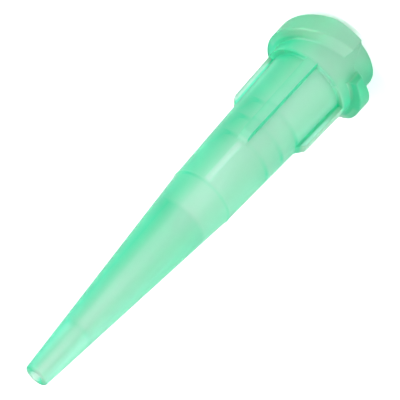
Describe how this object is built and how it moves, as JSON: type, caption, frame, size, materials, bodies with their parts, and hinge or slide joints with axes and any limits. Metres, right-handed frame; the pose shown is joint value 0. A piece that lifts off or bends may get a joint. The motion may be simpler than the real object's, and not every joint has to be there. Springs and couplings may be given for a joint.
{
  "type": "dispensing needle tip",
  "caption": "Tapered all-plastic dispensing tip with a ribbed hub, two lock lugs round a luer socket and a long cone to a small outlet",
  "frame": {"origin": "centre of the hub's open mouth, which is the face the tip stands on", "axes": "+Z runs along the bore from the hub's mouth to the outlet; +X points to one of the two long ribs"},
  "size_m": [0.0078, 0.0078, 0.0318],
  "materials": {
    "mint_plastic": "frosted translucent polypropylene, satin moulded surface"
  },
  "bodies": {
    "root": {"dispensing_tip": "mint_plastic"}
  },
  "joints": []
}
